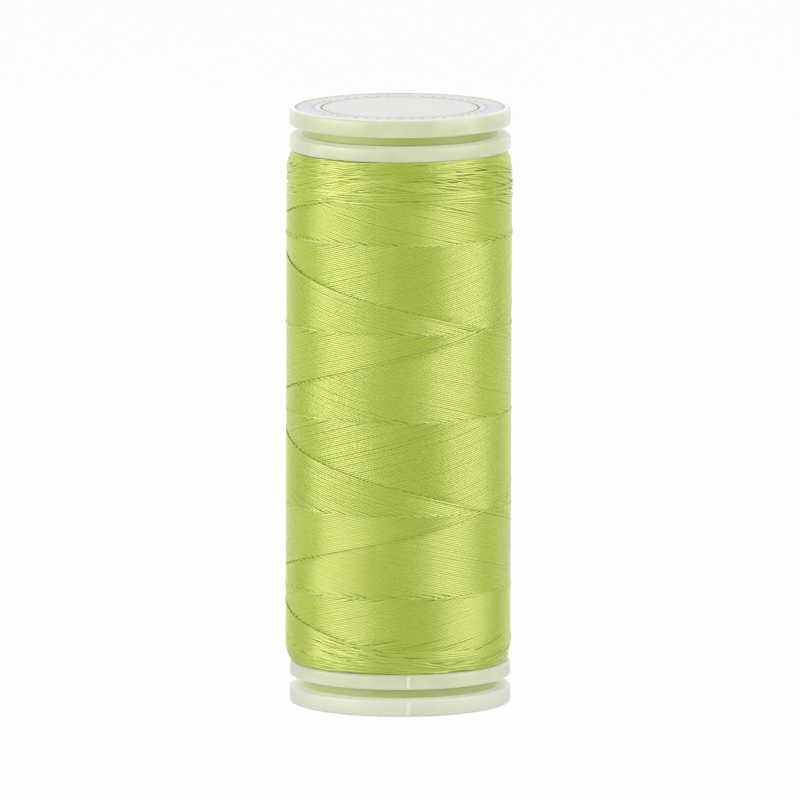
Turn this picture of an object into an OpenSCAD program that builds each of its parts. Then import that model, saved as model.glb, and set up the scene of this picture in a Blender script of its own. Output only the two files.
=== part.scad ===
// Spool of sewing thread with snap-end caps.
// A hollow barrel carries two winding flanges and the cross-wound thread. A cap snaps into each end
// of the barrel and can be pulled out a little way, which opens a groove for the thread tail.
// The origin is the centre of the base, and +Z runs up the barrel's axis.

/* [Barrel] */
// Outer diameter of the barrel, which is also the diameter of the groove's floor
barrel_d = 22.8; // [18:0.1:40]
// Wall of the barrel
barrel_wall = 1.4; // [1.2:0.1:2.5]
// Length of the wound thread, between the flanges
traverse = 60.9; // [40:0.1:120]
// Bore of the inner tube, which turns on a machine's spool pin
spindle_bore = 8; // [5:0.1:9]
// Wall of the inner tube
spindle_wall = 1; // [0.6:0.1:1.5]
// Number of webs that join the inner tube to the barrel
web_count = 4; // [3:1:8]
// Thickness of a web
web_t = 1; // [0.6:0.1:2]

/* [Flanges] */
// Thickness of a winding flange
flange_t = 1.75; // [1:0.05:4]
// How far the flanges and caps stand out past the barrel
flange_reach = 1.6; // [1.2:0.1:5]
// Depth of the step on the barrel's ends that a flange is pressed on
spigot_step = 0.5; // [0.3:0.05:0.7]
// Radius of the rounded rim edges
edge_r = 0.25; // [0.1:0.05:0.4]
// Width of the moulding ridge on a rim
ridge_w = 0.35; // [0.2:0.05:0.6]
// How far the moulding ridge stands proud
ridge_proud = 0.08; // [0.04:0.01:0.15]
// Angle of the ridge on the lower flange and the base cap
lower_ridge_angle = -85.6; // [-180:0.1:180]
// Angle of the ridge on the upper flange and the top cap
upper_ridge_angle = 182; // [0:0.1:360]

/* [Caps] */
// Thickness of a cap's disc
cap_t = 2.05; // [1.4:0.05:4]
// Height of the groove between a cap and its flange
groove_h = 1.15; // [1:0.05:2.5]
// How far a cap can be pulled out
cap_travel = 1.8; // [0.8:0.1:2.2]
// Width of the lip around a label
lip_w = 0.65; // [0.5:0.05:3]
// Clearance of a cap's hole around the spool pin's way in
pin_clear = 0.5; // [0.2:0.1:1.5]
// Length of a cap's skirt, below the groove
skirt_l = 6; // [5.8:0.1:10]
// Wall of a cap's skirt
skirt_wall = 1; // [0.7:0.1:1.4]
// Radial clearance of a cap's skirt in the barrel
slide_clear = 0.08; // [0.02:0.01:0.1]
// Height of the snap bead at the end of the skirt
bead_h = 0.8; // [0.5:0.1:1.2]
// How far the snap bead stands out past the barrel's mouth
bead_catch = 0.25; // [0.1:0.05:0.4]
// Number of snap fingers
finger_count = 6; // [4:1:10]
// Width of the slot between two fingers
slot_w = 1.4; // [1:0.1:2]
// Length of the skirt that stays whole above the slots
skirt_root = 1; // [0.6:0.1:1.5]
// Clearance on each side of the barrel's key ribs in their slots
key_clear = 0.2; // [0.1:0.05:0.3]

/* [Labels] */
// Thickness of a label
label_t = 0.12; // [0.08:0.01:0.2]
// Clearance around a label in its seat
label_clear = 0.1; // [0.05:0.05:0.3]
// How far a label lies below the cap's lip
label_sink = 0.08; // [0.04:0.02:0.3]
// Clearance of the base label's hole around the cap's hole
label_hole_clear = 0.5; // [0.2:0.1:1.5]

/* [Thread] */
// Diameter of the thread
thread_d = 0.2; // [0.15:0.01:0.3]
// Thickness of the wound thread on the barrel
wound_t = 2.05; // [1.8:0.05:4]
// Times that the outer layer runs up and back down the barrel
thread_trips = 4; // [2:1:4]
// Whole turns that one run along the barrel stays just short of
run_turns = 3; // [2:1:3]
// Free gap between the runs up and the runs down
layer_gap = 0.44; // [0.43:0.01:0.6]
// How far the wound thread draws in at the flanges
shoulder_drop = 0.6; // [0.2:0.05:0.8]
// Length over which it draws in
shoulder_l = 2.2; // [1:0.1:4]
// Radius of the bends at the two ends of the thread
thread_bend = 0.3; // [0.25:0.05:0.4]
// Angle around the barrel where the outer layer starts, and where its last run reaches the lower flange
tail_angle = 20; // [0:1:360]
// Angle that the tail runs around the groove's floor
tail_wrap = 60; // [30:1:200]

/* [Hidden] */

$fn = 96;
over = 0.3; // how far a piece that is joined or cut runs into its neighbour
plastic = [0.86, 0.89, 0.79];
paper = [0.94, 0.94, 0.92];
lime = [0.72, 0.80, 0.31];
lime_shade = [0.62, 0.70, 0.24];

// Heights, from the base up
base_groove_z = cap_t;
base_seat_z = base_groove_z + groove_h; // outer face of the lower flange
wound_z0 = base_seat_z + flange_t;
wound_z1 = wound_z0 + traverse;
top_seat_z = wound_z1 + flange_t; // outer face of the upper flange
total_h = top_seat_z + groove_h + cap_t;

// Radii, from the axis out
spindle_r = spindle_bore / 2;
spindle_ro = spindle_r + spindle_wall;
barrel_r = barrel_d / 2;
barrel_ri = barrel_r - barrel_wall;
spigot_r = barrel_r - spigot_step;
rim_r = barrel_r + flange_reach;
ridge_end = edge_r * 1.1; // a ridge dies out just short of the rim's rounded edges
skirt_ro = barrel_ri - slide_clear;
skirt_ri = skirt_ro - skirt_wall;
bead_r = barrel_ri + bead_catch;
recess_r = bead_r + slide_clear;

// The cap's bead travels in a recess inside the barrel, and both are measured from the seat inwards
slot_l = skirt_l - skirt_root;
slot_angle = 360 / finger_count;
recess_deep = skirt_l + slide_clear;
recess_near = skirt_l - bead_h - cap_travel - slide_clear;
web_clear = 0.5; // between a cap's skirt and the ends of the webs
web_end = skirt_l + web_clear;
key_w = slot_w - 2 * key_clear;
key_near = skirt_root + key_clear; // the key rib ends below the slot's closed end
key_l = recess_deep + web_clear / 2 - key_near;
key_ri = barrel_ri - skirt_wall;

seat_r = rim_r - lip_w;
seat_depth = label_t + label_sink;
label_r = seat_r - label_clear;
cap_hole_r = spindle_r + pin_clear;
label_hole_r = cap_hole_r + label_hole_clear;

// The outer layer of thread: runs up lie on the core, and runs down lie a gap above them
ring_step = 15; // degrees of wrap between two rings of the tube
tail_step = 7.5;
tube_sides = 6;
thread_r = thread_d / 2;
outer_run_r = barrel_r + wound_t - thread_r;
inner_run_r = outer_run_r - thread_d - layer_gap;
core_clear = 0.03; // between the core and the lowest part of the tube
core_r = inner_run_r * cos(ring_step / 2) - thread_r - core_clear;
run_angle = 360 * (run_turns - 1 / (2 * thread_trips));
wrap_angle = 2 * thread_trips * run_angle;
turn_half = 20; // half of the wrap over which a run turns back
cross_half = 30; // half of the wrap over which a run changes layer
run_z0 = wound_z0 + thread_d + thread_bend;
run_z1 = wound_z1 - thread_d - thread_bend;
climb = (run_z1 - run_z0) / (run_angle - turn_half); // height gained in a degree of wrap
bend_steps = 3;

// The tail leaves the last run before its turn, crosses the lower flange's rim, and lies in the groove.
// Its wrap is counted from where the run would have turned back
tail_lead = 45;
tail_clear = 0.1;
tail_rim_r = rim_r + ridge_proud + tail_clear / 2 + thread_r;
tail_rim_wrap = -turn_half / 2; // the tail is out at the rim's radius from here on
tail_floor_r = barrel_r + tail_clear + thread_r;
tail_z = base_seat_z - thread_d - thread_bend;
tail_in_wrap = 45; // wrap over which the tail moves from the rim to the groove's floor
tail_fall = (run_z0 - tail_z) / climb; // the tail is down at tail_z from here on
tail_stop = tail_fall - turn_half / 2 + tail_in_wrap + tail_wrap;

// Points of a quarter circle about c, from angle a to the quarter after it
function corner(c, r, a) = [for (k = [0 : 4]) c + r * [cos(a + k * 22.5), sin(a + k * 22.5)]];

// Eases from 0 to 1
function ease(t) = let (c = max(0, min(1, t))) c * c * (3 - 2 * c);

function polar(r, a, z) = [r * cos(a), r * sin(a), z];

// How far the wound thread draws in at height z
function shoulder(z) =
    let (d = max(0, min(z - wound_z0, wound_z1 - z)) / shoulder_l)
    d >= 1 ? 0 : shoulder_drop * (1 - sqrt(1 - (1 - d) * (1 - d)));

// Height gained a degrees of wrap after a turn: a parabola first, and then a steady climb
function gained(a) = climb * (a < turn_half ? a * a / (2 * turn_half) : a - turn_half / 2);

// Height of the outer layer after u degrees of wrap
function run_z(u) =
    let (run = floor(u / run_angle), w = u - run * run_angle,
         up = w < run_angle / 2 ? gained(w) : run_z1 - run_z0 - gained(run_angle - w))
    run % 2 == 0 ? run_z0 + up : run_z1 - up;

// 0 on the runs up and 1 on the runs down, changing over at each turn
function run_layer(u) =
    let (run = round(u / run_angle), d = u - run * run_angle,
         t = ease((d + cross_half) / (2 * cross_half)))
    run == 0 ? 0 : run % 2 == 1 ? t : 1 - t;

function run_r(u) =
    inner_run_r + (outer_run_r - inner_run_r) * run_layer(u) - shoulder(run_z(u));

// Points of an end of the thread. It leaves a face at height z, straight for one thread's diameter,
// and bends into the wrap at angle a. up is 1 or -1, and way is 1 where the wrap starts and -1 where
// it stops
function thread_end(r, a, z, up, way) =
    let (bend_wrap = thread_bend / r * 180 / PI)
    concat(
        [polar(r, a - way * bend_wrap, z)],
        [for (k = [0 : bend_steps])
            let (t = 90 * k / bend_steps)
            polar(r, a - way * bend_wrap * cos(t), z + up * (thread_d + thread_bend * sin(t)))]
    );

function reversed(list) = [for (k = [len(list) - 1 : -1 : 0]) list[k]];

// Height of the tail: the last run's steady fall, and then a parabola into the groove
function tail_z_at(a) =
    a < tail_fall - turn_half ? run_z0 - climb * (a + turn_half / 2)
    : a < tail_fall ? tail_z + climb * pow(tail_fall - a, 2) / (2 * turn_half)
    : tail_z;

function tail_r_at(a) =
    let (from = run_r(wrap_angle - tail_lead),
         to_rim = ease((a + tail_lead) / (tail_rim_wrap + tail_lead)),
         to_floor = ease((a - tail_fall + turn_half / 2) / tail_in_wrap),
         r = from + (tail_rim_r - from) * to_rim)
    r + (tail_floor_r - r) * to_floor;

winding_path = concat(
    thread_end(run_r(0), tail_angle, wound_z0, 1, 1),
    [for (u = [ring_step : ring_step : wrap_angle - tail_lead])
        polar(run_r(u), tail_angle + u, run_z(u))],
    [for (a = [tail_step - tail_lead : tail_step : tail_stop - tail_step / 2])
        polar(tail_r_at(a), tail_angle + a, tail_z_at(a))],
    reversed(thread_end(tail_floor_r, tail_angle + tail_stop, base_seat_z, -1, -1))
);

function unit(v) = v / norm(v);

// Direction of a path at its point k: halfway between the stretches before and after it
function heading(path, k) =
    let (last = len(path) - 1,
         before = unit(path[max(1, k)] - path[max(0, k - 1)]),
         after = unit(path[min(last, k + 1)] - path[min(last - 1, k)]))
    unit(before + after);

// A closed tube of triangles along a path that winds about the Z axis
module tube(path, r, sides) {
    count = len(path);
    points = [for (k = [0 : count - 1])
        let (p = path[k], t = heading(path, k), out = unit([p.x, p.y, 0]),
             n = unit(out - (out * t) * t), b = cross(t, n))
        for (s = [0 : sides - 1])
            p + r * (cos(s * 360 / sides) * n + sin(s * 360 / sides) * b)];
    walls = [for (k = [0 : count - 2], s = [0 : sides - 1])
        let (a = k * sides + s, b = k * sides + (s + 1) % sides)
        each [[a, a + sides, b], [b, a + sides, b + sides]]];
    first = [for (s = [1 : sides - 2]) [0, s, s + 1]];
    last = [for (s = [1 : sides - 2])
        let (a = (count - 1) * sides)
        [a, a + s + 1, a + s]];
    polyhedron(points, concat(walls, first, last));
}

// Least gap of a tube of diameter d to itself, on points along its path. Two points are compared
// where the path between them is longer than near
function least_gap(path, d, near) =
    let (parts = 3,
         fine = [for (k = [0 : len(path) - 2], s = [0 : parts - 1])
             path[k] + (path[k + 1] - path[k]) * s / parts],
         count = len(fine),
         along = [for (k = 0, l = 0; k < count;
             l = l + (k + 1 < count ? norm(fine[k + 1] - fine[k]) : 0), k = k + 1) l])
    min([for (i = [0 : count - 1], j = [i + 1 : 1 : count - 1])
        if (along[j] - along[i] > near) norm(fine[i] - fine[j])]) - d;

// A moulding ridge on both sides of a rim that starts at height z and is h high
module ridges(angle, z, h) {
    for (side = [0, 180])
        rotate([0, 0, angle + side])
            translate([rim_r - over, -ridge_w / 2, z + ridge_end])
                cube([over + ridge_proud, ridge_w, h - 2 * ridge_end]);
}

module flange(z, ridge_angle) {
    color(plastic) {
        translate([0, 0, z])
            rotate_extrude()
                polygon(concat(
                    [[spigot_r, 0]],
                    corner([rim_r - edge_r, edge_r], edge_r, -90),
                    corner([rim_r - edge_r, flange_t - edge_r], edge_r, 0),
                    [[spigot_r, flange_t]]
                ));
        ridges(ridge_angle, z, flange_t);
    }
}

// A cap about its seat: z = 0 is the flange's outer face, and +Z points out of the spool
module cap(ridge_angle) {
    top = groove_h + cap_t;
    color(plastic) {
        difference() {
            rotate_extrude()
                polygon(concat(
                    [
                        [cap_hole_r, groove_h],
                        [skirt_ri, groove_h],
                        [skirt_ri, -skirt_l],
                        [skirt_ro - bead_catch, -skirt_l],
                        [bead_r, -skirt_l + bead_h / 2],
                        [bead_r, -skirt_l + bead_h],
                        [skirt_ro, -skirt_l + bead_h],
                        [skirt_ro, 0],
                        [barrel_r, 0],
                        [barrel_r, groove_h]
                    ],
                    corner([rim_r - edge_r, groove_h + edge_r], edge_r, -90),
                    corner([rim_r - edge_r, top - edge_r], edge_r, 0),
                    [
                        [seat_r, top],
                        [seat_r, top - seat_depth],
                        [cap_hole_r, top - seat_depth]
                    ]
                ));
            for (k = [0 : finger_count - 1])
                rotate([0, 0, k * slot_angle])
                    translate([skirt_ri - over, -slot_w / 2, -skirt_l - over])
                        cube([bead_r - skirt_ri + 2 * over, slot_w, slot_l + over]);
        }
        ridges(ridge_angle, groove_h, cap_t);
    }
}

module base_cap() {
    translate([0, 0, base_seat_z])
        mirror([0, 0, 1])
            cap(lower_ridge_angle);
}

module top_cap() {
    translate([0, 0, top_seat_z])
        cap(upper_ridge_angle);
}

module lower_flange() {
    flange(base_seat_z, lower_ridge_angle);
}

module upper_flange() {
    flange(wound_z1, upper_ridge_angle);
}

// One half of the barrel's wall, from its end at z = 0 inwards, in outline
function wall_half(half_l) = [
    [barrel_ri, 0],
    [spigot_r, 0],
    [spigot_r, flange_t],
    [barrel_r, flange_t],
    [barrel_r, half_l],
    [barrel_ri, half_l],
    [barrel_ri, recess_deep],
    [recess_r, recess_deep],
    [recess_r, recess_near],
    [barrel_ri, recess_near]
];

module barrel() {
    barrel_l = top_seat_z - base_seat_z;
    color(plastic)
        translate([0, 0, base_seat_z]) {
            for (end = [0, 1])
                translate([0, 0, end * barrel_l])
                    mirror([0, 0, end]) {
                        rotate_extrude()
                            polygon(wall_half(barrel_l / 2));
                        for (slot = [0, floor(finger_count / 2)])
                            rotate([0, 0, slot * slot_angle])
                                translate([key_ri, -key_w / 2, key_near])
                                    cube([recess_r - key_ri + over, key_w, key_l]);
                    }
            difference() {
                union() {
                    cylinder(r = spindle_ro, h = barrel_l);
                    for (k = [0 : web_count - 1])
                        rotate([0, 0, (k + 0.5) * 360 / web_count])
                            translate([0, -web_t / 2, web_end])
                                cube([barrel_ri + over, web_t, barrel_l - 2 * web_end]);
                }
                translate([0, 0, -over])
                    cylinder(r = spindle_r, h = barrel_l + 2 * over);
            }
        }
}

module base_label() {
    color(paper)
        translate([0, 0, label_sink])
            difference() {
                cylinder(r = label_r, h = label_t);
                translate([0, 0, -over])
                    cylinder(r = label_hole_r, h = label_t + 2 * over);
            }
}

module top_label() {
    color(paper)
        translate([0, 0, total_h - seat_depth])
            cylinder(r = label_r, h = label_t);
}

// The inner layers of thread, plain, with drawn-in shoulders
module thread_core() {
    steps = 6;
    low = [for (k = [0 : steps]) wound_z0 + shoulder_l * (1 - cos(90 * k / steps))];
    high = [for (z = reversed(low)) wound_z0 + wound_z1 - z];
    color(lime_shade)
        rotate_extrude()
            polygon(concat(
                [[barrel_r, wound_z0]],
                [for (z = concat(low, high)) [core_r - shoulder(z), z]],
                [[barrel_r, wound_z1]]
            ));
}

// The outer layer: one thread that runs up and down the spool, and ends in the lower groove
module thread_winding() {
    echo(str("Turns of the winding: ", wrap_angle / 360));
    echo(str("Least gap of the winding to itself, mm: ",
        least_gap(winding_path, thread_d, PI * thread_bend + 2 * thread_d)));
    color(lime)
        tube(winding_path, thread_r, tube_sides);
}

barrel();
lower_flange();
upper_flange();
base_cap();
top_cap();
base_label();
top_label();
thread_core();
thread_winding();
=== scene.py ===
"""Looks of a spool of sewing thread: frosted snap-end spool, paper labels and cross-wound thread."""
import logging
import math
from collections.abc import Callable, Sequence
from dataclasses import dataclass
from enum import Enum

import bmesh
import bpy
import numpy as np
from bpy.types import Material, Node, NodeSocket, NodeTree, Object
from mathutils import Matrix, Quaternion, Vector


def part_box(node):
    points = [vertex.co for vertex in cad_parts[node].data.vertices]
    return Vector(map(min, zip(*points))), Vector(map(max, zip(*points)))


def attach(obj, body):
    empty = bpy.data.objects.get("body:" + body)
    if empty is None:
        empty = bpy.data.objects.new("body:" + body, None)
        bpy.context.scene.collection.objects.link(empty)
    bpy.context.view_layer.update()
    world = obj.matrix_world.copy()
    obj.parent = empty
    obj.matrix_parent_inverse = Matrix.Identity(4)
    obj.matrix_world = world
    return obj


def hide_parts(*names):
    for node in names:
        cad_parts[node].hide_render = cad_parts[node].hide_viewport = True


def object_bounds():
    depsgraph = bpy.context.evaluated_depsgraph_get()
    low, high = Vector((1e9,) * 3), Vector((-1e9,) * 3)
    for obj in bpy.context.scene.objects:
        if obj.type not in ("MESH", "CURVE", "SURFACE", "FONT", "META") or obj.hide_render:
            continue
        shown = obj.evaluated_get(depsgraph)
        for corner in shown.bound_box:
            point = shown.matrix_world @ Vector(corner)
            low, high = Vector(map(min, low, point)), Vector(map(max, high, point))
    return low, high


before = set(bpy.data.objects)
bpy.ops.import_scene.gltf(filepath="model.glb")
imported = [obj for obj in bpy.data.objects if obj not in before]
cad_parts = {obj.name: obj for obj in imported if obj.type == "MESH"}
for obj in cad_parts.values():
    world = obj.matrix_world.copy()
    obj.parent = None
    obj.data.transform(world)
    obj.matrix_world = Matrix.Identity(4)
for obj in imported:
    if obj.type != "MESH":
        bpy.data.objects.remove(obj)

LOG = logging.getLogger("spool")
MM = 0.001
CAD_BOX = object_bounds()
RIM_FLATS = 192
FLAT_ANGLE = 2 * math.pi / RIM_FLATS
EDGE_STEPS = 5
MERGE_GAP = 0.001 * MM
NOISE_SPAN = (0.3, 0.7)  # nearly all values of a noise texture lie between these
Array = np.ndarray
Colour = tuple[float, float, float, float]
Pair = tuple[float, float]
BARREL_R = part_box("barrel")[1].x
RIM_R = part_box("lower_flange")[1].x


class Body(Enum):
    """The three bodies that the spool's pieces ride on."""

    SPOOL = "spool"
    BASE_CAP = "base_cap"
    TOP_CAP = "top_cap"


class Slot(Enum):
    """The record's material slots."""

    PLASTIC = "spool_plastic"
    PAPER = "label_paper"
    THREAD = "thread"


# ---- modelling by hand


def set_mode(mode: str) -> None:
    """Takes the active piece into EDIT or OBJECT mode."""
    bpy.ops.object.mode_set(mode=mode)


def deselect_all() -> None:
    """Leaves object mode with nothing selected."""
    if bpy.context.object and bpy.context.object.mode != "OBJECT":
        set_mode("OBJECT")
    bpy.ops.object.select_all(action="DESELECT")


def take_up(piece: Object) -> None:
    """Makes a piece the only selected and active one."""
    deselect_all()
    piece.select_set(True)
    bpy.context.view_layer.objects.active = piece


def settle(piece: Object) -> None:
    """Moves a piece's place into its mesh, so that its object sits at the origin."""
    take_up(piece)
    bpy.ops.object.transform_apply(location=True, rotation=True, scale=True)


def pick(piece: Object, kind: str, test: Callable[[Vector], bool]) -> None:
    """Selects parts of a piece that is in edit mode.

    Args:
        piece: The piece.
        kind: VERT, EDGE or FACE.
        test: Says of a part's middle whether the part is selected.
    """
    bpy.ops.mesh.select_mode(type=kind)
    bpy.ops.mesh.select_all(action="DESELECT")
    mesh = bmesh.from_edit_mesh(piece.data)
    parts = {"VERT": mesh.verts, "EDGE": mesh.edges, "FACE": mesh.faces}[kind]
    for part in parts:
        if kind == "VERT":
            middle = part.co
        else:
            middle = sum((v.co for v in part.verts), Vector()) / len(part.verts)
        if test(middle):
            part.select_set(True)
    mesh.select_flush_mode()
    bmesh.update_edit_mesh(piece.data)


def turn(name: str, outline: Sequence[Pair], segments: int, angle: float = 0.0) -> Object:
    """Turns a closed outline about the Z axis, as on a lathe.

    A circle is drawn at the outline's first corner, and then extruded and scaled from corner to corner.

    Args:
        name: Name of the piece.
        outline: (radius, height) of each corner, in order. No radius is 0.
        segments: Flats around the piece.
        angle: Angle of the circle's first corner, in radians.

    Returns:
        The turned piece, closed, with its faces outwards.
    """
    deselect_all()
    first_r, first_z = outline[0]
    bpy.ops.mesh.primitive_circle_add(
        vertices=segments, radius=first_r, location=(0, 0, first_z), rotation=(0, 0, angle)
    )
    piece = bpy.context.object
    piece.name = name
    settle(piece)
    set_mode("EDIT")
    bpy.ops.mesh.select_mode(type="EDGE")
    bpy.ops.mesh.select_all(action="SELECT")
    corners = [*outline, outline[0]]
    for (r_from, z_from), (r_to, z_to) in zip(corners, corners[1:]):
        bpy.ops.mesh.extrude_region_move(TRANSFORM_OT_translate={"value": (0, 0, z_to - z_from)})
        ratio = r_to / r_from
        bpy.ops.transform.resize(value=(ratio, ratio, 1), center_override=(0, 0, z_to))
    bpy.ops.mesh.select_all(action="SELECT")
    bpy.ops.mesh.remove_doubles(threshold=MERGE_GAP)
    bpy.ops.mesh.normals_make_consistent(inside=False)
    set_mode("OBJECT")
    return piece


def bevel_rings(piece: Object, rings: Sequence[Pair], width: float, steps: int) -> None:
    """Rounds whole rings of edges of a turned piece.

    Args:
        piece: The turned piece.
        rings: (radius, height) of each ring.
        width: Width of the rounding.
        steps: Flats of the rounding.
    """
    near = 0.01 * MM
    take_up(piece)
    set_mode("EDIT")

    def on_ring(middle: Vector) -> bool:
        """Whether an edge's middle lies on one of the rings."""
        flat = math.hypot(middle.x, middle.y)
        return any(abs(flat - r) < near and abs(middle.z - z) < near for r, z in rings)

    pick(piece, "EDGE", on_ring)
    bpy.ops.mesh.bevel(offset=width, segments=steps, profile=0.5, affect="EDGES")
    set_mode("OBJECT")


def raise_ridges(piece: Object, rim_r: float, z_range: Pair, angle: float, proud: float) -> None:
    """Raises the two thin moulding ridges of a rim, opposite each other.

    Args:
        piece: The turned piece, one of whose flats is centred on the angle.
        rim_r: Radius of the rim.
        z_range: Lowest and highest place of the rim's straight part.
        angle: Angle of one ridge, in radians.
        proud: How far a ridge stands proud.
    """
    way = Vector((math.cos(angle), math.sin(angle), 0))
    near, beside, taper = 0.02 * MM, 0.01, 0.05 * MM
    take_up(piece)
    set_mode("EDIT")

    def under_ridge(middle: Vector) -> bool:
        """Whether a face's middle lies where a ridge rises."""
        flat = Vector((middle.x, middle.y, 0))
        return (
            z_range[0] < middle.z < z_range[1]
            and flat.length > rim_r - near
            and abs(flat.normalized().cross(way).z) < beside
        )

    pick(piece, "FACE", under_ridge)
    bpy.ops.mesh.inset(thickness=taper, depth=proud)
    set_mode("OBJECT")


def apply_modifier(piece: Object, kind: str, **settings: object) -> None:
    """Adds a modifier with these settings, and applies it."""
    take_up(piece)
    modifier = piece.modifiers.new(kind.title(), kind)
    for key, value in settings.items():
        setattr(modifier, key, value)
    bpy.ops.object.modifier_apply(modifier=modifier.name)


def smooth(piece: Object, angle: float = 35.0) -> None:
    """Shades a piece smooth, and keeps the edges that are sharper than an angle in degrees."""
    take_up(piece)
    bpy.ops.object.shade_smooth_by_angle(angle=math.radians(angle))


def dress(piece: Object, body: Body, slot: Slot, material: Material, *nodes: str) -> None:
    """Gives a piece its material, its body and the CAD nodes that it stands for.

    Args:
        piece: The piece.
        body: The body that it rides on.
        slot: The record's material slot. Not used.
        material: Its finish.
        *nodes: CAD nodes that it replaces.
    """
    piece.data.materials.clear()
    piece.data.materials.append(material)
    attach(piece, body.value)
    if nodes:
        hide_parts(*nodes)
    LOG.info("%s rides on %s, %d faces", piece.name, body.value, len(piece.data.polygons))


# ---- finishes


class Recipe:
    """Adds and links the nodes of one material or node group."""

    def __init__(self, tree: NodeTree) -> None:
        """Takes the tree that the nodes go in."""
        self.tree = tree

    def add(self, kind: str, inputs: dict[str | int, object] | None = None, **settings: object):
        """Adds a node.

        Args:
            kind: The node's type, without ShaderNode.
            inputs: A number, colour or output socket for each input.
            **settings: The node's own settings.

        Returns:
            The node.
        """
        node = self.tree.nodes.new("ShaderNode" + kind)
        for key, value in settings.items():
            setattr(node, key, value)
        for key, value in (inputs or {}).items():
            if isinstance(value, NodeSocket):
                self.link(value, node.inputs[key])
            else:
                node.inputs[key].default_value = value
        return node

    def link(self, start: NodeSocket, end: NodeSocket) -> None:
        """Links one socket to another."""
        self.tree.links.new(start, end)

    def math(self, operation: str, *values: object) -> NodeSocket:
        """A Math node's result."""
        return self.add("Math", dict(enumerate(values)), operation=operation).outputs[0]

    def ramp(
        self, value: NodeSocket, low: float, high: float, to_low: float = 0.0, to_high: float = 1.0
    ) -> NodeSocket:
        """A value mapped smoothly from one range to another."""
        inputs = {"Value": value, "From Min": low, "From Max": high, "To Min": to_low, "To Max": to_high}
        return self.add("MapRange", inputs, interpolation_type="SMOOTHSTEP").outputs[0]

    def bump(self, height: NodeSocket, strength: float, distance: float) -> NodeSocket:
        """A normal that a height tilts."""
        return self.add("Bump", {"Height": height, "Strength": strength, "Distance": distance}).outputs[0]

    def distance(self, x: NodeSocket, y: NodeSocket) -> NodeSocket:
        """Distance of (x, y) from the middle."""
        flat = self.add("CombineXYZ", {0: x, 1: y}).outputs[0]
        return self.add("VectorMath", {0: flat}, operation="LENGTH").outputs["Value"]

    def blend(self, share: object, first: object, second: object) -> NodeSocket:
        """Two colours mixed by a share."""
        return self.add("Mix", {0: share, 6: first, 7: second}, data_type="RGBA").outputs[2]


def mottle_group() -> NodeTree:
    """Fine grain with broad clouding: the surface of moulded plastic or paper.

    Returns:
        The group, with the outputs Height and Cloud.
    """
    known = bpy.data.node_groups.get("mottle")
    if known:
        return known
    tree = bpy.data.node_groups.new("mottle", "ShaderNodeTree")
    tree.interface.new_socket("Vector", in_out="INPUT", socket_type="NodeSocketVector")
    for key in ("Grain Scale", "Cloud Scale"):
        tree.interface.new_socket(key, in_out="INPUT", socket_type="NodeSocketFloat")
    for key in ("Height", "Cloud"):
        tree.interface.new_socket(key, in_out="OUTPUT", socket_type="NodeSocketFloat")
    given = tree.nodes.new("NodeGroupInput").outputs
    wanted = tree.nodes.new("NodeGroupOutput").inputs
    recipe, cloud_height = Recipe(tree), 2.0
    grain, cloud = (
        recipe.add("TexNoise", {"Vector": given["Vector"], "Scale": given[key], "Detail": detail}).outputs[0]
        for key, detail in (("Grain Scale", 4.0), ("Cloud Scale", 2.0))
    )
    recipe.link(recipe.math("MULTIPLY_ADD", cloud, cloud_height, grain), wanted["Height"])
    recipe.link(cloud, wanted["Cloud"])
    return tree


def grained_surface(
    recipe: Recipe, grain_scale: float, cloud_scale: float
) -> tuple[Node, Node, NodeSocket]:
    """Adds what the plastic and the paper share.

    Args:
        recipe: The material's recipe.
        grain_scale, cloud_scale: Scales of the fine grain and of the broad clouding.

    Returns:
        The mottle, the place split into X, Y and Z, and the distance from the Z axis.
    """
    place = recipe.add("TexCoord").outputs["Object"]
    given = {"Vector": place, "Grain Scale": grain_scale, "Cloud Scale": cloud_scale}
    mottle = recipe.add("Group", given, node_tree=mottle_group())
    split = recipe.add("SeparateXYZ", {0: place})
    return mottle, split, recipe.distance(split.outputs[0], split.outputs[1])


def start_material(name: str) -> tuple[Material, Recipe]:
    """Makes an empty material, and its recipe."""
    material = bpy.data.materials.new(name)
    material.use_nodes = True
    material.node_tree.nodes.clear()
    return material, Recipe(material.node_tree)


class Finish:
    """A finish: its name, and the inputs that it gives to one Principled shader."""

    name = ""

    def inputs(self, recipe: Recipe) -> dict[str, object]:
        """A socket where an input varies over the surface, and a number or colour where not."""
        raise NotImplementedError

    def material(self) -> Material:
        """The finish as a Blender material."""
        material, recipe = start_material(self.name)
        shader = recipe.add("BsdfPrincipled", self.inputs(recipe))
        recipe.add("OutputMaterial", {"Surface": shader.outputs[0]})
        return material


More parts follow.
